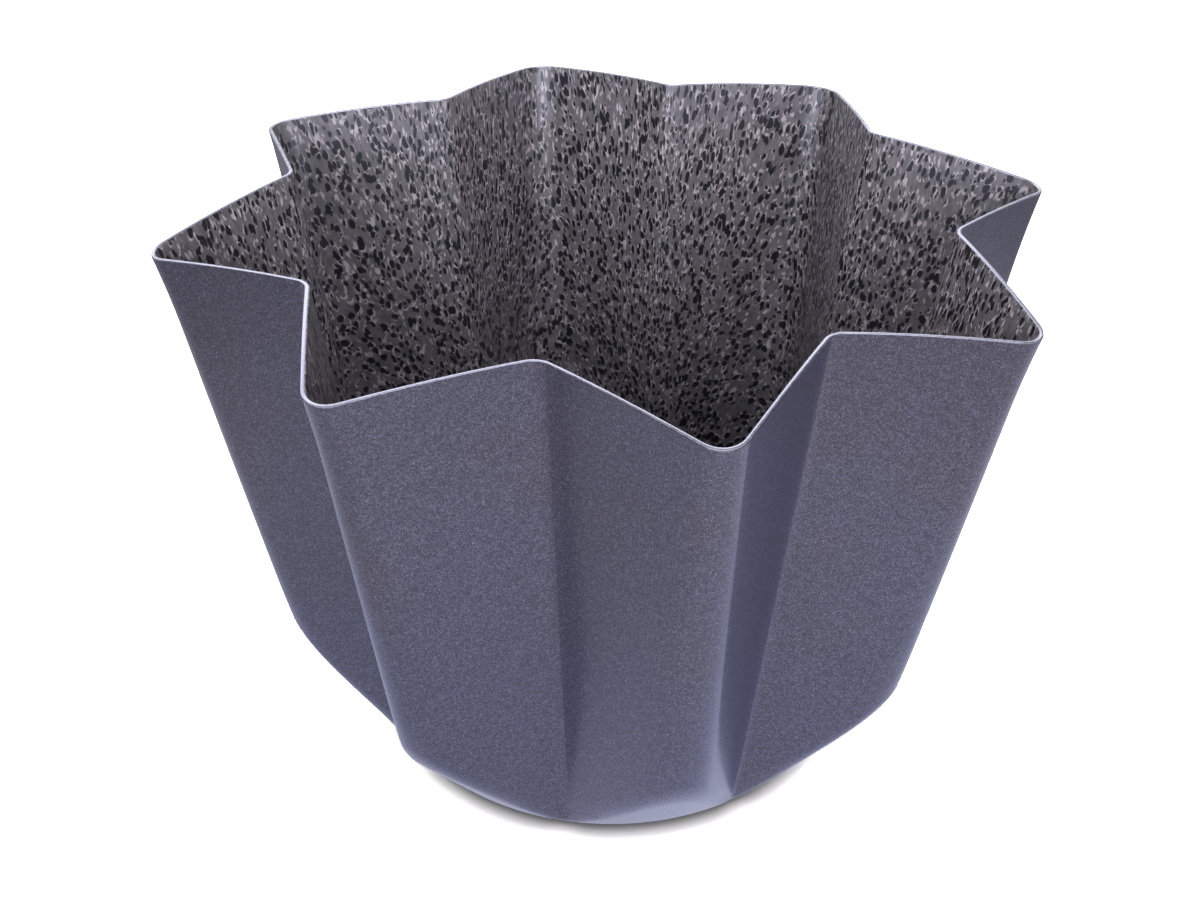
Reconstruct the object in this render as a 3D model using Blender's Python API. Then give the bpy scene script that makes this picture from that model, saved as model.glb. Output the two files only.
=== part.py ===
# Pandoro mould: one deep-drawn star of sheet metal, lacquered outside and lined with
# a stone-effect non-stick coat inside. Metres, +Z up. It stands on its flat base, with
# the origin under the middle of the base and a tip of the star on +X.

import math

import bmesh
import bpy
from mathutils import Vector

# Star in plan. Radii run from the axis to the sharp corners that the fillets round off.
TIP_COUNT = 8
FLOOR_TIP_RADIUS = 0.0851
RIM_TIP_RADIUS = 0.1105
FLOOR_VALLEY_RADIUS = 0.0574
RIM_VALLEY_RADIUS = 0.0820
FLOOR_TIP_FILLET = 0.0106
RIM_TIP_FILLET = 0.0042
VALLEY_FILLET = 0.0030

# Rim. It runs lower at the tips, where the drawn sheet also flares outwards a little.
HEIGHT = 0.1485
TIP_DROP = 0.0053
DROP_CURVE = 1.2
TIP_FLARE = 0.0018
FLARE_HEIGHT = 0.0200

# Base. A cone trims the tips down to a round floor, over a rounded shoulder.
BASE_RADIUS = 0.0566
CHAMFER_ANGLE = math.radians(40.5)
SHOULDER_BLEND = 0.0038
BASE_ROUND_HEIGHT = 0.0030
BASE_ROUND_REACH = 0.0019

# Wall, from the outside in. The coats lie on the metal over a thin bond line.
LACQUER_THICKNESS = 0.00010
METAL_THICKNESS = 0.00080
LINING_THICKNESS = 0.00010
BOND_LINE = 0.00005

# Facets
HALF_TIP_STEPS = 2
HALF_VALLEY_STEPS = 1
FLANK_STEPS = 2
BASE_ROUND_STEPS = 3
SHOULDER_STEPS = 4
WALL_STEPS = 2
FLARE_STEPS = 2
LEAST_STEP = 0.0008
BISECTIONS = 40

TIP_HEIGHT = HEIGHT - TIP_DROP
HALF_PITCH = math.pi / TIP_COUNT


def clear_scene():
    for old in list(bpy.data.objects):
        bpy.data.objects.remove(old, do_unlink=True)


def blend(start, end, share):
    return start + (end - start) * share


def tip_radius(z):
    """Axis to the sharp tip corner at height z, with the flare under the rim."""
    flared = max(z - (TIP_HEIGHT - FLARE_HEIGHT), 0.0) / FLARE_HEIGHT
    return blend(FLOOR_TIP_RADIUS, RIM_TIP_RADIUS, z / TIP_HEIGHT) + TIP_FLARE * flared**2


def valley_radius(z):
    return blend(FLOOR_VALLEY_RADIUS, RIM_VALLEY_RADIUS, z / HEIGHT)


def tip_fillet(z):
    return blend(FLOOR_TIP_FILLET, RIM_TIP_FILLET, z / TIP_HEIGHT)


def arc_point(centre_radius, fillet, direction, bearing):
    """Point of a fillet whose centre lies at centre_radius from the axis, on a bearing."""
    centre = Vector((math.cos(bearing), math.sin(bearing))) * centre_radius
    return centre + Vector((math.cos(direction), math.sin(direction))) * fillet


def tip_arc(z, share):
    """Tip fillet in plan, tip on +X, from its tangent point (0) to the tip's middle (1)."""
    half_angle = tip_half_angle(z)
    centre_radius = tip_radius(z) - tip_fillet(z) / math.sin(half_angle)
    return arc_point(centre_radius, tip_fillet(z), (half_angle - math.pi / 2) * (1 - share), 0.0)


def valley_arc(z, share):
    """Valley fillet in plan, from the valley's middle (0) to its tangent point (1)."""
    half_angle = tip_half_angle(z) + HALF_PITCH
    centre_radius = valley_radius(z) + VALLEY_FILLET / math.sin(half_angle)
    direction = math.pi + (half_angle - math.pi / 2) * share - HALF_PITCH
    return arc_point(centre_radius, VALLEY_FILLET, direction, -HALF_PITCH)


def tip_half_angle(z):
    """Half the angle between the two flanks of a tip."""
    across = valley_radius(z) * math.sin(HALF_PITCH)
    along = tip_radius(z) - valley_radius(z) * math.cos(HALF_PITCH)
    return math.atan2(across, along)


def half_lobe_columns():
    """Columns of half a lobe, from the valley's middle to the tip's middle."""
    columns = [(valley_arc, i / HALF_VALLEY_STEPS) for i in range(HALF_VALLEY_STEPS + 1)]
    columns += [(flank, i / FLANK_STEPS) for i in range(1, FLANK_STEPS)]
    columns += [(tip_arc, i / HALF_TIP_STEPS) for i in range(HALF_TIP_STEPS + 1)]
    return columns


def flank(z, share):
    """Straight flank in plan, between the tangent points of the two fillets."""
    return valley_arc(z, 1.0).lerp(tip_arc(z, 0.0), share)


def trimmed_radius(radius, z):
    """Radius left after the base cone, with the shoulder and the base edge rounded."""
    cone = BASE_RADIUS + z * math.tan(CHAMFER_ANGLE)
    closeness = max(SHOULDER_BLEND - abs(radius - cone), 0.0) / SHOULDER_BLEND
    trimmed = min(radius, cone) - closeness**2 * SHOULDER_BLEND / 4
    below = max(1.0 - z / BASE_ROUND_HEIGHT, 0.0)
    return trimmed - BASE_ROUND_REACH * (1.0 - math.sqrt(1.0 - below**2))


def outer_point(column, z):
    """Point of the outer face on a column of the half lobe, at height z."""
    shape, share = column
    plan = shape(z, share)
    plan *= trimmed_radius(plan.length, z) / plan.length
    return Vector((plan.x, plan.y, z))


def rim_height(column):
    """Height of the cut rim, which falls from the valleys to the tips."""
    shape, share = column
    outermost = tip_radius(TIP_HEIGHT)
    radius = shape(TIP_HEIGHT, share).length
    outwards = (radius - RIM_VALLEY_RADIUS) / (outermost - RIM_VALLEY_RADIUS)
    return HEIGHT - TIP_DROP * max(outwards, 0.0) ** DROP_CURVE


def shoulder_height(column):
    """Height at which the leaning star wall meets the base cone."""
    shape, share = column
    low = 0.0
    high = TIP_HEIGHT - FLARE_HEIGHT
    for _ in range(BISECTIONS):
        middle = (low + high) / 2
        cone = BASE_RADIUS + middle * math.tan(CHAMFER_ANGLE)
        if shape(middle, share).length > cone:
            low = middle
        else:
            high = middle
    return low


def stepped(start, end, steps):
    """Heights after start, up to and including end."""
    return [blend(start, end, i / steps) for i in range(1, steps + 1)]


def row_heights(column):
    """Heights of a column's points: base round, chamfer, shoulder, wall, flare."""
    quarter = [math.pi / 2 * i / BASE_ROUND_STEPS for i in range(BASE_ROUND_STEPS + 1)]
    rows = [BASE_ROUND_HEIGHT * (1 - math.cos(angle)) for angle in quarter]
    wall_slope = (RIM_TIP_RADIUS - FLOOR_TIP_RADIUS) / TIP_HEIGHT
    reach = SHOULDER_BLEND / max(math.tan(CHAMFER_ANGLE) - wall_slope, wall_slope)
    shoulder = shoulder_height(column)
    low = max(shoulder - reach, rows[-1] + LEAST_STEP)
    high = max(shoulder + reach, low + LEAST_STEP * SHOULDER_STEPS)
    rim = rim_height(column)
    rows.append(low)
    rows += stepped(low, high, SHOULDER_STEPS)
    rows += stepped(high, rim - FLARE_HEIGHT, WALL_STEPS)
    rows += stepped(rim - FLARE_HEIGHT, rim, FLARE_STEPS)
    return rows


def half_lobe_grid():
    """Outer face of half a lobe: for each column, its points from floor to rim."""
    return [[outer_point(column, z) for z in row_heights(column)] for column in half_lobe_columns()]


def rings():
    """Closed rings of points round the whole star, from the floor's edge to the rim."""
    half = half_lobe_grid()
    mirrored = [[Vector((p.x, -p.y, p.z)) for p in column] for column in half[-2:0:-1]]
    lobe = half + mirrored
    turned = []
    for index in range(TIP_COUNT):
        angle = 2 * HALF_PITCH * index
        turned += [[turn(point, angle) for point in column] for column in lobe]
    return list(zip(*turned))


def turn(point, angle):
    cos, sin = math.cos(angle), math.sin(angle)
    return Vector((point.x * cos - point.y * sin, point.x * sin + point.y * cos, point.z))


def ring_edges(bm, points):
    verts = [bm.verts.new(point) for point in points]
    return [bm.edges.new((verts[i - 1], verts[i])) for i in range(len(verts))]


def drawn_skin():
    """The outer face as a loft of rings, closed by the flat floor, rim left open."""
    bm = bmesh.new()
    loops = [ring_edges(bm, ring) for ring in rings()]
    for lower, upper in zip(loops, loops[1:]):
        bmesh.ops.bridge_loops(bm, edges=lower + upper)
    floor = bmesh.ops.contextual_create(bm, geom=loops[0])
    bmesh.ops.recalc_face_normals(bm, faces=bm.faces)
    bm.normal_update()
    return bm, floor["faces"][0]


def inward_moves(bm, floor):
    """For each vertex, its move for each metre that the skin sinks into the sheet."""
    moves = {}
    for vert in bm.verts:
        moves[vert] = vert.normal * -vert.calc_shell_factor()
        if vert.is_boundary:
            level = Vector((vert.normal.x, vert.normal.y, 0.0))
            moves[vert] = level * (-vert.calc_shell_factor() / level.length_squared)
    for vert in floor.verts:
        moves[vert] /= abs(moves[vert].z)
    return moves


def make_layer(name, depth, thickness, material):
    """One layer of the wall: the skin sunk by depth, backed by a copy sunk further."""
    bm, floor = drawn_skin()
    if floor.normal.z > 0:
        bmesh.ops.reverse_faces(bm, faces=bm.faces)
        bm.normal_update()
    moves = inward_moves(bm, floor)
    outer_faces = list(bm.faces)
    copied = bmesh.ops.duplicate(bm, geom=bm.verts[:] + bm.edges[:] + outer_faces)
    twin = copied["vert_map"]
    inner_faces = [face for face in copied["geom"] if isinstance(face, bmesh.types.BMFace)]
    for vert, move in moves.items():
        twin[vert].co = vert.co + move * (depth + thickness)
        vert.co = vert.co + move * depth
    bmesh.ops.reverse_faces(bm, faces=inner_faces)
    rim = [edge for edge in bm.edges if edge.is_boundary]
    bmesh.ops.bridge_loops(bm, edges=rim)
    return finish(name, bm, material)


def finish(name, bm, material):
    bmesh.ops.recalc_face_normals(bm, faces=bm.faces)
    mesh = bpy.data.meshes.new(name)
    bm.to_mesh(mesh)
    bm.free()
    mesh.materials.append(material)
    mesh.shade_smooth()
    mesh.set_sharp_from_angle(angle=math.radians(35))
    layer = bpy.data.objects.new(name, mesh)
    bpy.context.scene.collection.objects.link(layer)
    return layer


def make_material(name, colour, metallic, roughness):
    material = bpy.data.materials.new(name)
    material.use_nodes = True
    shader = material.node_tree.nodes["Principled BSDF"]
    shader.inputs["Base Color"].default_value = (*colour, 1.0)
    shader.inputs["Metallic"].default_value = metallic
    shader.inputs["Roughness"].default_value = roughness
    material.diffuse_color = (*colour, 1.0)
    return material


def outer_lacquer():
    blue_grey = make_material("blue_grey_lacquer", (0.115, 0.117, 0.165), 0.6, 0.35)
    return make_layer("outer_lacquer", 0.0, LACQUER_THICKNESS, blue_grey)


def metal_body():
    bare_metal = make_material("bare_metal", (0.72, 0.72, 0.78), 1.0, 0.25)
    depth = LACQUER_THICKNESS + BOND_LINE
    return make_layer("metal_body", depth, METAL_THICKNESS, bare_metal)


def nonstick_lining():
    stone_grey = make_material("stone_effect_coat", (0.105, 0.095, 0.098), 0.0, 0.45)
    depth = LACQUER_THICKNESS + METAL_THICKNESS + 2 * BOND_LINE
    return make_layer("nonstick_lining", depth, LINING_THICKNESS, stone_grey)


clear_scene()
outer_lacquer()
metal_body()
nonstick_lining()
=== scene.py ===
import math

import bmesh
import bpy
from mathutils import Matrix, Vector


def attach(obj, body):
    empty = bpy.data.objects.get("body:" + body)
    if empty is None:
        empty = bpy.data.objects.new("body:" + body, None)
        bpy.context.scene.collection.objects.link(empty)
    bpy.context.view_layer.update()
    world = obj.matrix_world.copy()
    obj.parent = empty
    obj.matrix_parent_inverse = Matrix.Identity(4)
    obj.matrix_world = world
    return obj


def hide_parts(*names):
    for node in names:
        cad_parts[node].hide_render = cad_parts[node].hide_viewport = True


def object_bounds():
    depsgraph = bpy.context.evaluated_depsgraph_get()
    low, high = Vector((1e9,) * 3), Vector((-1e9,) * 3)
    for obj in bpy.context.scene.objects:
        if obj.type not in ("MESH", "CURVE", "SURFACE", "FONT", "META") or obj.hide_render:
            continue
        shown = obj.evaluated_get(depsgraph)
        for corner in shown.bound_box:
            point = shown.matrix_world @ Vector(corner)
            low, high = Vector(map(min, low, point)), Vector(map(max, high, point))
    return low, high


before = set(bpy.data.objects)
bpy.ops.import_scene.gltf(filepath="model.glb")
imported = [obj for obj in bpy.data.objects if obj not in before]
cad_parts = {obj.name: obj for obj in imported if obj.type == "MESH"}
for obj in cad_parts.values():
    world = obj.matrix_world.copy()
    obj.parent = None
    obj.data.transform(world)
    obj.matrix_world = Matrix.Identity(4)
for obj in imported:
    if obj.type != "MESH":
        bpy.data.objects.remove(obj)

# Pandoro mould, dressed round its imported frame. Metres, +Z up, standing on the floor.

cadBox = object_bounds()
print("frame loaded:", ", ".join(sorted(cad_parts)))


rimSlack = 0.00001  # keeps the rim just inside the solids' box

# the drawn star; its radii run from the axis to the sharp corners that the fillets round off
star = {
    "tips": 8,
    "height": cadBox[1].z - rimSlack,  # to the rim in the valleys
    "floorTip": 0.0860,
    "rimTip": 0.1125,
    "floorValley": 0.0574,
    "rimValley": 0.0820,
    "floorTipFillet": 0.0112,
    "rimTipFillet": 0.0065,
    "floorValleyFillet": 0.0030,
    "rimValleyFillet": 0.0045,
    "tipDrop": 0.0053,  # the rim runs lower at the tips
    "dropCurve": 1.2,
    "tipFlare": 0.0010,
    "flareHeight": 0.0200,
    "baseRadius": 0.0566,
    "baseCone": math.radians(40.5),  # from the vertical
    "shoulderBlend": 0.0045,
    "blendRise": 0.0120,  # the blend fades out below this height, so the base stays round
    "blendLeast": 0.02,  # the share of it that is left at the floor
    "baseRoundHeight": 0.0030,
    "baseRoundReach": 0.0019,
    "flatMargin": 0.0010,  # flat ring inside the base round
}

# how finely the star is drawn
fineness = {
    "tipSegments": 12,
    "valleySegments": 6,
    "flankCuts": 9,
    "baseRoundRows": 6,
    "chamferRows": 3,
    "shoulderRows": 12,
    "wallRows": 10,
    "flareRows": 8,
    "leastStep": 0.0008,
    "seamTurn": 0.001,  # rings start this far before the tip on +X, in radians
    "heightDigits": 6,  # points this alike in height, in decimals of a metre, are in one ring
    "creaseAngle": math.radians(40.0),  # sharper edges aren't smoothed over
}

halfPitch = math.pi / star["tips"]
tipTop = star["height"] - star["tipDrop"]
coneSlope = math.tan(star["baseCone"])
wallSlope = (star["rimTip"] - star["floorTip"]) / tipTop
rowCount = 1 + sum(count for name, count in fineness.items() if name.endswith("Rows"))


def mix(start, end, share):
    return start + (end - start) * share


def stepped(start, end, steps):
    return [mix(start, end, step / steps) for step in range(1, steps + 1)]


def tipRadius(height):
    flared = max(height - (tipTop - star["flareHeight"]), 0.0) / star["flareHeight"]
    return mix(star["floorTip"], star["rimTip"], height / tipTop) + star["tipFlare"] * flared**2


def valleyRadius(height):
    return mix(star["floorValley"], star["rimValley"], height / star["height"])


def roundCorners(bm, corners, fillet, halfAngle, segments):
    # the bevel's arc is as deep as a true fillet at its middle
    depth = fillet * (1.0 / math.sin(halfAngle) - 1.0)
    tangent = depth / ((2.0 - math.sqrt(2.0)) * math.cos(halfAngle))
    bmesh.ops.bevel(bm, geom=corners, offset=tangent, segments=segments, profile=0.5,
                    affect="VERTICES", material=-1)


def starOutline(bm, height):
    # a circle of corners, pulled out to tips and in to valleys, then rounded at each corner
    tip, valley = tipRadius(height), valleyRadius(height)
    older = set(bm.verts)
    corners = bmesh.ops.create_circle(bm, segments=2 * star["tips"], radius=1.0)["verts"]
    tips, valleys = corners[::2], corners[1::2]
    bmesh.ops.scale(bm, vec=(tip, tip, 1.0), verts=tips)
    bmesh.ops.scale(bm, vec=(valley, valley, 1.0), verts=valleys)
    bmesh.ops.translate(bm, vec=(0.0, 0.0, height), verts=corners)
    tipHalf = math.atan2(valley * math.sin(halfPitch), tip - valley * math.cos(halfPitch))
    fillet = mix(star["floorTipFillet"], star["rimTipFillet"], height / tipTop)
    roundCorners(bm, tips, fillet, tipHalf, fineness["tipSegments"])
    fillet = mix(star["floorValleyFillet"], star["rimValleyFillet"], height / star["height"])
    roundCorners(bm, valleys, fillet, tipHalf + halfPitch, fineness["valleySegments"])
    edges = [edge for edge in bm.edges if edge.verts[0] not in older]
    flanks = sorted(edges, key=lambda edge: edge.calc_length())[-2 * star["tips"]:]
    bmesh.ops.subdivide_edges(bm, edges=flanks, cuts=fineness["flankCuts"])


def ringPlace(vert):
    turn = (math.atan2(vert.co.y, vert.co.x) + fineness["seamTurn"]) % math.tau
    return round(vert.co.z, fineness["heightDigits"]), turn


def starOutlines(bm):
    # level outlines from floor to rim, each sorted round the axis from the tip on +X
    for row in range(rowCount):
        starOutline(bm, mix(0.0, star["height"], row / (rowCount - 1)))
    verts = sorted(bm.verts, key=ringPlace)
    each = len(verts) // rowCount
    return [verts[start:start + each] for start in range(0, len(verts), each)]


def along(guide, height):
    # the point where a column of the wall passes a height
    for below, above in zip(guide, guide[1:]):
        if height <= above.z:
            break
    return below.lerp(above, (height - below.z) / (above.z - below.z))


def rimHeight(guide):
    outermost = tipRadius(tipTop)
    radius = along(guide, tipTop).xy.length
    outwards = (radius - star["rimValley"]) / (outermost - star["rimValley"])
    return star["height"] - star["tipDrop"] * max(outwards, 0.0) ** star["dropCurve"]


def bareEdge(guide, layer):
    # how far below the rim a layer ends; a little more at the tips
    tipShare = (star["height"] - rimHeight(guide)) / star["tipDrop"]
    return layer["belowRim"] + layer["belowTip"] * tipShare**2


def rowHeights(guide, layer):
    # base round, chamfer, shoulder, wall and flare; the rows follow the shoulder round each tip
    roundSteps = fineness["baseRoundRows"]
    rows = [star["baseRoundHeight"] * (1.0 - math.cos(math.pi / 2 * step / roundSteps))
            for step in range(roundSteps + 1)]
    shoulder = (guide[0].xy.length - star["baseRadius"]) / (coneSlope - wallSlope)
    reach = star["shoulderBlend"] / (coneSlope - wallSlope)
    low = max(shoulder - reach, rows[-1] + fineness["leastStep"])
    high = max(shoulder + reach, low + fineness["leastStep"] * fineness["shoulderRows"])
    top = rimHeight(guide) - bareEdge(guide, layer)
    rows += stepped(rows[-1], low, fineness["chamferRows"])
    rows += stepped(low, high, fineness["shoulderRows"])
    rows += stepped(high, top - star["flareHeight"], fineness["wallRows"])
    return rows + stepped(top - star["flareHeight"], top, fineness["flareRows"])


def trimToBase(point):
    # a cone takes the tips down to the round base, over a rounded shoulder and base edge
    radius, height = point.xy.length, point.z
    cone = star["baseRadius"] + height * coneSlope
    blend = star["shoulderBlend"] * min(height / star["blendRise"] + star["blendLeast"], 1.0)
    closeness = max(blend - abs(radius - cone), 0.0) / blend
    trimmed = min(radius, cone) - closeness**2 * blend / 4
    below = max(1.0 - height / star["baseRoundHeight"], 0.0)
    trimmed -= star["baseRoundReach"] * (1.0 - math.sqrt(1.0 - below**2))
    return Vector((point.x * trimmed / radius, point.y * trimmed / radius, height))


def ringEdges(bm, ring):
    return [bm.edges.get(pair) for pair in zip(ring, ring[1:] + ring[:1])]


def drawnSkin(bm, layer):
    # outlines lofted from floor to rim, each column then spaced along its wall and trimmed
    outlines = starOutlines(bm)
    for column in zip(*outlines):
        guide = [vert.co.copy() for vert in column]
        for vert, height in zip(column, rowHeights(guide, layer)):
            vert.co = trimToBase(along(guide, height))
    loops = [ringEdges(bm, outline) for outline in outlines]
    for lower, upper in zip(loops, loops[1:]):
        bmesh.ops.bridge_loops(bm, edges=lower + upper)
    floor = bmesh.ops.contextual_create(bm, geom=loops[0])["faces"]
    bmesh.ops.inset_region(bm, faces=floor, thickness=star["flatMargin"], use_even_offset=True)
    bmesh.ops.recalc_face_normals(bm, faces=bm.faces)
    bm.normal_update()


def inwardMoves(bm):
    # how far each vertex moves for each metre that the skin sinks; the floor and the rim keep level
    moves = {}
    for vert in bm.verts:
        moves[vert] = vert.normal * -vert.calc_shell_factor()
        if vert.is_boundary:
            level = Vector((vert.normal.x, vert.normal.y, 0.0))
            moves[vert] = level * (-vert.calc_shell_factor() / level.length_squared)
        elif vert.co.z == 0.0:
            moves[vert] /= abs(moves[vert].z)
    return moves


def wallLayer(bm, layer):
    # the drawn skin, sunk into the wall and backed by a copy sunk further; returns its rim faces
    drawnSkin(bm, layer)
    moves = inwardMoves(bm)
    copied = bmesh.ops.duplicate(bm, geom=bm.verts[:] + bm.edges[:] + bm.faces[:])
    inner = [item for item in copied["geom"] if isinstance(item, bmesh.types.BMFace)]
    for vert, move in moves.items():
        copied["vert_map"][vert].co = vert.co + move * (layer["depth"] + layer["thickness"])
        vert.co = vert.co + move * layer["depth"]
    bmesh.ops.reverse_faces(bm, faces=inner)
    rim = [edge for edge in bm.edges if edge.is_boundary]
    return bmesh.ops.bridge_loops(bm, edges=rim)["faces"]


def dress(name, bm, node, material):
    bmesh.ops.recalc_face_normals(bm, faces=bm.faces)
    mesh = bpy.data.meshes.new(name)
    bm.to_mesh(mesh)
    bm.free()
    mesh.materials.append(material)
    mesh.shade_smooth()
    mesh.set_sharp_from_angle(angle=fineness["creaseAngle"])
    piece = bpy.data.objects.new(name, mesh)
    bpy.context.scene.collection.objects.link(piece)
    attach(piece, "root")
    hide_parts(node)
    print(name, "made:", len(mesh.polygons), "faces")


# node helpers that the materials share

def addNode(tree, kind, settings=None, **values):
    node = tree.nodes.new("ShaderNode" + kind)
    for setting, value in (settings or {}).items():
        setattr(node, setting, value)
    for socket, value in values.items():
        if isinstance(value, bpy.types.NodeSocket):
            tree.links.new(value, node.inputs[socket])
        else:
            node.inputs[socket].default_value = value
    return node


def newMaterial(name):
    material = bpy.data.materials.new(name)
    material.use_nodes = True
    tree = material.node_tree
    return material, tree, tree.nodes["Principled BSDF"], addNode(tree, "TexCoord").outputs["Object"]


def stretched(tree, position, scale):
    mapping = addNode(tree, "Mapping", Vector=position)
    mapping.inputs["Scale"].default_value = scale
    return mapping.outputs["Vector"]


def noise(tree, position, scale, detail=2.0, roughness=0.5):
    return addNode(tree, "TexNoise", Vector=position, Scale=scale, Detail=detail,
                   Roughness=roughness).outputs["Fac"]


def ranged(tree, value, fromLow, fromHigh, toLow=0.0, toHigh=1.0, smooth=True):
    node = addNode(tree, "MapRange", {"interpolation_type": "SMOOTHSTEP" if smooth else "LINEAR"},
                   Value=value)
    for socket, number in zip(("From Min", "From Max", "To Min", "To Max"),
                              (fromLow, fromHigh, toLow, toHigh)):
        node.inputs[socket].default_value = number
    return node.outputs["Result"]


def fading(tree, value, low, high):
    # full below the low end, none above the high end
    return ranged(tree, value, low, high, 1.0, 0.0)


def math2(tree, operation, first, second=0.0):
    node = tree.nodes.new("ShaderNodeMath")
    node.operation = operation
    for socket, value in zip(node.inputs, (first, second)):
        if isinstance(value, bpy.types.NodeSocket):
            tree.links.new(value, socket)
        else:
            socket.default_value = value
    return node.outputs["Value"]


def vector2(tree, operation, first, second=(0.0, 0.0, 0.0)):
    node = addNode(tree, "VectorMath", {"operation": operation})
    for socket, value in zip(node.inputs, (first, second)):
        if isinstance(value, bpy.types.NodeSocket):
            tree.links.new(value, socket)
        else:
            socket.default_value = value
    return node.outputs["Value" if operation in ("DOT_PRODUCT", "LENGTH") else "Vector"]


def blended(tree, share, first, second, blend="MIX"):
    node = tree.nodes.new("ShaderNodeMix")
    node.data_type = "RGBA"
    node.blend_type = blend
    sockets = node.inputs[0], node.inputs[6], node.inputs[7]  # the colour sockets of a Mix node
    for socket, value in zip(sockets, (share, first, second)):
        if isinstance(value, bpy.types.NodeSocket):
            tree.links.new(value, socket)
        elif isinstance(value, tuple):
            socket.default_value = (*value, 1.0)
        else:
            socket.default_value = value
    return node.outputs[2]


def randomShare(tree, cells):
    # one random number for each cell of a Voronoi pattern
    return addNode(tree, "SeparateColor", Color=cells.outputs["Color"]).outputs["Red"]


def roughened(tree, shader, height, strength, depth):
    bump = addNode(tree, "Bump", Height=height, Strength=strength, Distance=depth)
    tree.links.new(bump.outputs["Normal"], shader.inputs["Normal"])


lacquer = {
    "depth": 0.0,  # from the outside of the wall
    "thickness": 0.00016,
    "belowRim": 0.00018,  # where the coat ends
    "belowTip": 0.00045,  # and how much lower it ends at the tips
    "violet": (0.098, 0.094, 0.133),
    "slate": (0.099, 0.092, 0.122),
    "fleck": (0.36, 0.35, 0.42),
    "edgeTint": (0.79, 0.81, 1.0),
    "cloudScale": 26.0,  # drifts between the two ground colours
    "cloudRange": (0.38, 0.62),
    "grainScale": 1500.0,
    "grainMiddle": 0.5,
    "grainReach": 0.09,
    "grainShades": (1.62, 0.72),
    "fleckScale": 1700.0,
    "fleckSize": (0.16, 0.30),
    "fleckChance": (0.70, 0.80),  # only cells above this get a fleck
    "fleckStrength": 0.75,
    "bump": 0.30,
    "bumpDepth": 0.0001,
    "glossRange": (0.3, 0.7),
    "roughness": (0.27, 0.36),
    "metallic": 0.80,
    "coat": 0.50,
    "coatRoughness": 0.12,
}


def lacquerMaterial():
    material, tree, shader, place = newMaterial("blueGreyLacquer")
    cloud = noise(tree, place, lacquer["cloudScale"], 3.0, 0.6)
    ground = blended(tree, ranged(tree, cloud, *lacquer["cloudRange"]), lacquer["slate"], lacquer["violet"])
    grain = noise(tree, place, lacquer["grainScale"], 1.0)
    worms = math2(tree, "ABSOLUTE", math2(tree, "SUBTRACT", grain, lacquer["grainMiddle"]))
    shade = ranged(tree, worms, 0.0, lacquer["grainReach"], *lacquer["grainShades"])
    mottled = blended(tree, 1.0, ground, shade, "MULTIPLY")
    cells = addNode(tree, "TexVoronoi", Vector=place, Scale=lacquer["fleckScale"])
    small = fading(tree, cells.outputs["Distance"], *lacquer["fleckSize"])
    few = ranged(tree, randomShare(tree, cells), *lacquer["fleckChance"])
    flecks = math2(tree, "MULTIPLY", math2(tree, "MULTIPLY", small, few), lacquer["fleckStrength"])
    tree.links.new(blended(tree, flecks, mottled, lacquer["fleck"]), shader.inputs["Base Color"])
    roughened(tree, shader, grain, lacquer["bump"], lacquer["bumpDepth"])
    dullness = ranged(tree, grain, *lacquer["glossRange"], *lacquer["roughness"])
    tree.links.new(dullness, shader.inputs["Roughness"])
    shader.inputs["Metallic"].default_value = lacquer["metallic"]
    shader.inputs["Specular Tint"].default_value = (*lacquer["edgeTint"], 1.0)
    shader.inputs["Coat Weight"].default_value = lacquer["coat"]
    shader.inputs["Coat Roughness"].default_value = lacquer["coatRoughness"]
    return material


def lacquerPiece():
    bm = bmesh.new()
    wallLayer(bm, lacquer)
    dress("lacquer_coat", bm, "outer_lacquer", lacquerMaterial())


sheet = {
    "depth": 0.00015,
    "thickness": 0.00080,
    "belowRim": 0.0,
    "belowTip": 0.0,
    "edgeRound": 0.00015,
    "edgeSegments": 2,
    "edgeAngle": math.radians(45.0),  # edges sharper than this are rounded
    "colour": (0.60, 0.60, 0.72),
    "scratched": (0.48, 0.48, 0.59),
    "scratchScale": 900.0,
    "scratchRange": (0.35, 0.65),
    "paintedTipGlint": (0.94, 0.94, 1.0),  # painted highlight: the rim's colour is raised to near white at the tips, standing in for their glints
    "glintRise": 0.0010,
    "glintSpread": 0.14,  # and the metal is made rougher there, which spreads that shine
    "glossRange": (0.3, 0.7),
    "roughness": (0.26, 0.40),
}


def sheetMaterial():
    material, tree, shader, place = newMaterial("bareSheet")
    scratches = noise(tree, place, sheet["scratchScale"], 3.0, 0.6)
    bare = ranged(tree, scratches, *sheet["scratchRange"])
    colour = blended(tree, bare, sheet["scratched"], sheet["colour"])
    height = addNode(tree, "SeparateXYZ", Vector=place).outputs["Z"]
    # painted highlight: near the tips' height the rim is painted near white, standing in for glints
    paintedTipGlint = fading(tree, height, tipTop, tipTop + sheet["glintRise"])
    tree.links.new(blended(tree, paintedTipGlint, colour, sheet["paintedTipGlint"]), shader.inputs["Base Color"])
    dullness = ranged(tree, scratches, *sheet["glossRange"], *sheet["roughness"])
    spread = math2(tree, "MULTIPLY", paintedTipGlint, sheet["glintSpread"])
    tree.links.new(math2(tree, "ADD", dullness, spread), shader.inputs["Roughness"])
    shader.inputs["Metallic"].default_value = 1.0
    return material


def sheetPiece():
    bm = bmesh.new()
    rim = wallLayer(bm, sheet)
    corners = [edge for face in rim for edge in face.edges
               if abs(edge.calc_face_angle()) > sheet["edgeAngle"]]
    bmesh.ops.bevel(bm, geom=corners, offset=sheet["edgeRound"], segments=sheet["edgeSegments"],
                    profile=0.5, affect="EDGES", material=-1)
    dress("metal_sheet", bm, "metal_body", sheetMaterial())


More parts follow.
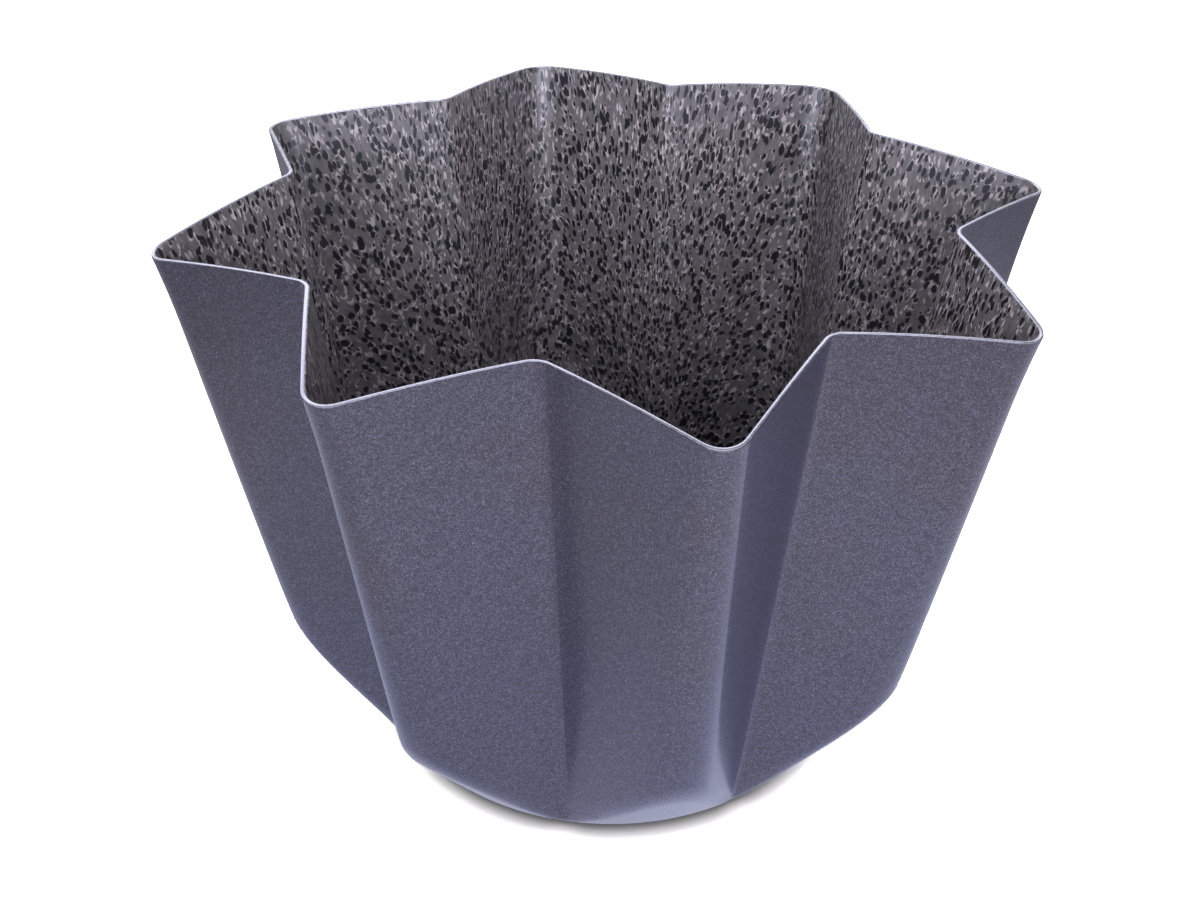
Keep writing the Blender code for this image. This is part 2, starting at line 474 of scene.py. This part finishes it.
lining = {
    "depth": 0.00094,
    "thickness": 0.00016,
    "belowRim": 0.00020,
    "belowTip": 0.0,
    "ground": (0.262, 0.240, 0.258),
    "groundDark": (0.165, 0.151, 0.162),
    "speck": (0.010, 0.009, 0.011),
    "streak": (0.86, 0.76, 0.80),
    "floorRadius": 0.055,
    "climb": (1.42, 1.10),  # flat length for each metre of height, at the floor and at the rim
    "tipPull": 0.30,
    "bends": ((110.0, 0.0038), (620.0, 0.0012)),  # scale and reach of each wave in the pattern
    "bigSpecks": (285.0, -0.27, 0.40),  # scale, least and greatest size
    "bigEdge": (-0.04, 0.02),
    "bigCrescent": 0.18,
    "smallSpecks": (440.0, 0.24, 0.54),
    "smallEdge": (-0.05, 0.03),
    "smallCrescent": 0.26,
    "crescentStart": (0.01, 0.05),
    "crescentFade": 0.6,  # the share of its reach that a crescent keeps its strength for
    "crescentSide": (0.35, 0.85),
    "strokes": (1000.0, -0.14, 0.56),
    "strokeEdge": (-0.14, 0.06),
    "strokeShare": 0.46,  # the strokes were drawn out longer than the specks
    "strokeBends": ((230.0, 0.0042), (900.0, 0.0010)),
    "patchScale": 480.0,  # where the pale marks are strong or weak
    "patchRange": (0.30, 0.56),
    "patchShades": (0.35, 1.0),
    "paleStrength": 0.80,
    "groundScale": 420.0,
    "groundRange": (0.35, 0.65),
    "grainScale": 600.0,
    "grainSquash": (1.0, 1.0, 5.0),
    "bump": 0.35,
    "bumpDepth": 0.0001,
    "roughness": 0.31,
    "sheen": 1.0,
    "sheenTint": (0.84, 0.87, 1.0),
}


def bent(tree, position, bends):
    # a pattern's places, shifted by noise once for each scale and reach
    for scale, reach in bends:
        wobble = addNode(tree, "TexNoise", Vector=position, Scale=scale, Detail=1.0).outputs["Color"]
        shifted = addNode(tree, "VectorMath", {"operation": "MULTIPLY_ADD"})
        tree.links.new(wobble, shifted.inputs[0])
        shifted.inputs[1].default_value = (reach, reach, reach)
        tree.links.new(position, shifted.inputs[2])
        position = shifted.outputs["Vector"]
    return position


def flattened(tree, place, share=1.0):
    # where a place lay on the flat patterned sheet, before drawing squeezed it in towards the rim
    level = vector2(tree, "MULTIPLY", place, (1.0, 1.0, 0.0))
    radius = vector2(tree, "LENGTH", level)
    height = addNode(tree, "SeparateXYZ", Vector=place).outputs["Z"]
    onFloor = math2(tree, "MINIMUM", radius, lining["floorRadius"])
    steepness = ranged(tree, height, 0.0, star["height"], *lining["climb"], False)
    climb = math2(tree, "MULTIPLY", height, steepness)
    pull = math2(tree, "MULTIPLY", math2(tree, "SUBTRACT", radius, onFloor), lining["tipPull"])
    wall = math2(tree, "MULTIPLY", math2(tree, "SUBTRACT", climb, pull), share)
    outwards = vector2(tree, "NORMALIZE", level)
    return vector2(tree, "MULTIPLY", outwards, math2(tree, "ADD", onFloor, wall))


def specks(tree, position, scale, least, greatest):
    # blobs of random sizes: the cells that they lie in, and how far a place is past its blob's edge
    cells = addNode(tree, "TexVoronoi", Vector=position, Scale=scale)
    size = ranged(tree, randomShare(tree, cells), 0.0, 1.0, least, greatest, False)
    return cells, math2(tree, "SUBTRACT", cells.outputs["Distance"], size)


def crescents(tree, position, cells, past, reach):
    # pale slivers that each hug one side of a blob, picked at random
    outwards = vector2(tree, "NORMALIZE", vector2(tree, "SUBTRACT", position, cells.outputs["Position"]))
    side = vector2(tree, "NORMALIZE", vector2(tree, "SUBTRACT", cells.outputs["Color"], (0.5, 0.5, 0.5)))
    onSide = ranged(tree, vector2(tree, "DOT_PRODUCT", outwards, side), *lining["crescentSide"])
    starts = ranged(tree, past, *lining["crescentStart"])
    halo = math2(tree, "MULTIPLY", starts, fading(tree, past, reach * lining["crescentFade"], reach))
    return math2(tree, "MULTIPLY", halo, onSide)


def liningMaterial():
    material, tree, shader, place = newMaterial("stoneCoat")
    flow = bent(tree, flattened(tree, place), lining["bends"])
    bigCells, big = specks(tree, flow, *lining["bigSpecks"])
    smallCells, small = specks(tree, flow, *lining["smallSpecks"])
    dark = math2(tree, "MAXIMUM", fading(tree, big, *lining["bigEdge"]),
                 fading(tree, small, *lining["smallEdge"]))
    beside = math2(tree, "MAXIMUM", crescents(tree, flow, smallCells, small, lining["smallCrescent"]),
                   crescents(tree, flow, bigCells, big, lining["bigCrescent"]))
    thin = bent(tree, flattened(tree, place, lining["strokeShare"]), lining["strokeBends"])
    strokes = fading(tree, specks(tree, thin, *lining["strokes"])[1], *lining["strokeEdge"])
    patches = noise(tree, flow, lining["patchScale"])
    patchy = ranged(tree, patches, *lining["patchRange"], *lining["patchShades"])
    pale = math2(tree, "MULTIPLY", math2(tree, "MAXIMUM", beside, strokes), patchy)
    cloud = noise(tree, flow, lining["groundScale"], 3.0, 0.6)
    light = ranged(tree, cloud, *lining["groundRange"])
    ground = blended(tree, light, lining["groundDark"], lining["ground"])
    strength = math2(tree, "MULTIPLY", pale, lining["paleStrength"])
    streaked = blended(tree, strength, ground, lining["streak"])
    tree.links.new(blended(tree, dark, streaked, lining["speck"]), shader.inputs["Base Color"])
    grain = noise(tree, stretched(tree, place, lining["grainSquash"]), lining["grainScale"])
    roughened(tree, shader, grain, lining["bump"], lining["bumpDepth"])
    shader.inputs["Roughness"].default_value = lining["roughness"]
    shader.inputs["Specular IOR Level"].default_value = lining["sheen"]
    shader.inputs["Specular Tint"].default_value = (*lining["sheenTint"], 1.0)
    return material


def liningPiece():
    bm = bmesh.new()
    wallLayer(bm, lining)
    dress("stone_lining", bm, "nonstick_lining", liningMaterial())


lacquerPiece()
sheetPiece()
liningPiece()


# the camera, at the photograph's angle; a tip of the star points at the right of the picture's front
cameraView = {
    "distance": 0.48103,
    "elevation": math.radians(31.278),
    "turn": math.radians(-11.448),
    "sideways": -0.00291,
    "aimHeight": 0.07826,
    "roll": 0.00815,
    "focalPixels": 1845.8,
    "imageWidth": 1200.0,
    "sensorWidth": 36.0,
    "nearest": 0.01,
    "farthest": 50.0,
}


def makeCamera():
    camera = bpy.data.cameras.new("photoView")
    camera.sensor_width = cameraView["sensorWidth"]
    camera.lens = cameraView["focalPixels"] / cameraView["imageWidth"] * cameraView["sensorWidth"]
    camera.clip_start = cameraView["nearest"]
    camera.clip_end = cameraView["farthest"]
    holder = bpy.data.objects.new("photoView", camera)
    bpy.context.scene.collection.objects.link(holder)
    lift = cameraView["elevation"]
    back = Vector((0.0, -math.cos(lift), math.sin(lift)))
    aim = Vector((cameraView["sideways"], 0.0, cameraView["aimHeight"]))
    place = aim + back * cameraView["distance"]
    tilt = Matrix.Rotation(math.pi / 2 - lift, 4, "X") @ Matrix.Rotation(cameraView["roll"], 4, "Z")
    holder.matrix_world = Matrix.Rotation(cameraView["turn"], 4, "Z") @ Matrix.Translation(place) @ tilt
    bpy.context.scene.camera = holder


makeCamera()
print("camera placed")


plainWhite = (1.0, 1.0, 1.0, 1.0)

studio = {
    "worldColour": (0.89, 0.90, 1.0),
    "worldStrength": 0.20,
    "backdropTop": (0.05, 0.35),  # mirrored rays see white up to here, and the dim ceiling above
    "lampDistance": 1.7,
    "lampColour": (0.93, 0.94, 1.0),
    "floorSize": 12.0,
    "floorDrop": 0.0002,
    "floorGlow": 0.90,  # near the mould, and its ring further out, as all but the camera see them
    "ringGlow": 0.33,
    "glowReach": (0.21, 0.34),
    "glowColour": (0.78, 0.81, 1.0),
    "ringColour": (0.88, 0.87, 0.96),
    "tintReach": (0.10, 0.21),
    "glowSide": math.radians(40.0),  # the floor glows more on this side, to the right of the camera
    "glowLean": (0.0, 0.14, 0.84, 1.16),
    "farReach": (0.55, 0.95),
    "shadowReach": 0.0046,
    "shadowRange": (0.15, 1.0),
    "shadowShades": (0.20, 3.2),  # the camera sees the lit paper as pure white, and its shadow as grey
    "paperTint": (1.0, 0.97, 0.88),  # takes the lamps' blue out of the shadow
}

# soft panels: turn is to the right of the camera and lift above the floor, both in degrees
lamps = {
    "frontPanel": {"size": (3.0, 1.2), "power": 35.0, "turn": -2.0, "lift": 20.0},
    "backPanel": {"size": (3.0, 0.8), "power": 15.0, "turn": 205.0, "lift": 38.0},
    "topPanel": {"size": (0.6, 0.6), "power": 2.2, "turn": 0.0, "lift": 76.0},
}


def mirrored(tree, rays):
    return math2(tree, "MAXIMUM", rays["Is Glossy Ray"], rays["Is Transmission Ray"])


def eitherOf(tree, share, first, second):
    both = tree.nodes.new("ShaderNodeMixShader")
    for socket, value in zip(both.inputs, (share, first, second)):
        tree.links.new(value, socket)
    return both.outputs["Shader"]


def makeWorld():
    world = bpy.data.worlds.new("studioWorld")
    world.use_nodes = True
    tree = world.node_tree
    background = tree.nodes["Background"]
    background.inputs["Color"].default_value = (*studio["worldColour"], 1.0)
    background.inputs["Strength"].default_value = studio["worldStrength"]
    white = addNode(tree, "Background", Color=plainWhite, Strength=1.0)
    direction = addNode(tree, "SeparateXYZ", Vector=addNode(tree, "TexCoord").outputs["Generated"])
    strength = ranged(tree, direction.outputs["Z"], *studio["backdropTop"], 1.0, studio["worldStrength"])
    backdrop = addNode(tree, "Background", Color=plainWhite, Strength=strength)
    rays = addNode(tree, "LightPath").outputs
    others = eitherOf(tree, mirrored(tree, rays), background.outputs[0], backdrop.outputs[0])
    both = eitherOf(tree, rays["Is Camera Ray"], others, white.outputs[0])
    tree.links.new(both, tree.nodes["World Output"].inputs["Surface"])
    bpy.context.scene.world = world


def makeLamp(name, panel):
    # the lamp faces the mould from its distance
    lamp = bpy.data.lights.new(name, "AREA")
    lamp.shape = "RECTANGLE"
    lamp.size, lamp.size_y = panel["size"]
    lamp.energy = panel["power"]
    lamp.color = studio["lampColour"]
    holder = bpy.data.objects.new(name, lamp)
    bpy.context.scene.collection.objects.link(holder)
    turn = Matrix.Rotation(cameraView["turn"] + math.radians(panel["turn"]), 4, "Z")
    tilt = Matrix.Rotation(math.radians(90.0 - panel["lift"]), 4, "X")
    holder.matrix_world = turn @ tilt @ Matrix.Translation((0.0, 0.0, studio["lampDistance"]))
    holder.visible_camera = False


def floorMaterial():
    # the camera sees lit paper with the mould's shadow, other rays a glow; both are plain white far off
    material, tree, shader, place = newMaterial("whiteFloor")
    tree.nodes.remove(shader)
    distance = vector2(tree, "LENGTH", place)
    near = ranged(tree, distance, *studio["glowReach"], studio["floorGlow"], studio["ringGlow"])
    far = ranged(tree, distance, *studio["farReach"])
    side = cameraView["turn"] + studio["glowSide"]
    across = vector2(tree, "DOT_PRODUCT", place, (math.sin(side), -math.cos(side), 0.0))
    glow = math2(tree, "MULTIPLY", near, ranged(tree, across, *studio["glowLean"], False))
    outer = ranged(tree, distance, *studio["tintReach"])
    tint = blended(tree, outer, studio["glowColour"], studio["ringColour"])
    glowing = addNode(tree, "Emission", Color=tint, Strength=glow)
    openness = addNode(tree, "AmbientOcclusion", Distance=studio["shadowReach"]).outputs["AO"]
    shade = ranged(tree, openness, *studio["shadowRange"], *studio["shadowShades"], False)
    lit = addNode(tree, "BsdfDiffuse", Color=vector2(tree, "MULTIPLY", shade, studio["paperTint"]))
    plain = addNode(tree, "Emission", Color=plainWhite, Strength=1.0)
    rays = addNode(tree, "LightPath").outputs
    paper = eitherOf(tree, rays["Is Camera Ray"], glowing.outputs[0], lit.outputs[0])
    both = eitherOf(tree, far, paper, plain.outputs[0])
    tree.links.new(both, tree.nodes["Material Output"].inputs["Surface"])
    return material


def makeFloor():
    bm = bmesh.new()
    bmesh.ops.create_grid(bm, x_segments=1, y_segments=1, size=studio["floorSize"] / 2)
    bmesh.ops.translate(bm, vec=(0.0, 0.0, -studio["floorDrop"]), verts=bm.verts)
    mesh = bpy.data.meshes.new("studioFloor")
    bm.to_mesh(mesh)
    bm.free()
    mesh.materials.append(floorMaterial())
    floor = bpy.data.objects.new("studioFloor", mesh)
    bpy.context.scene.collection.objects.link(floor)


makeWorld()
for name, panel in lamps.items():
    makeLamp(name, panel)
makeFloor()
bpy.context.scene.view_settings.view_transform = "Standard"
print("studio lit")
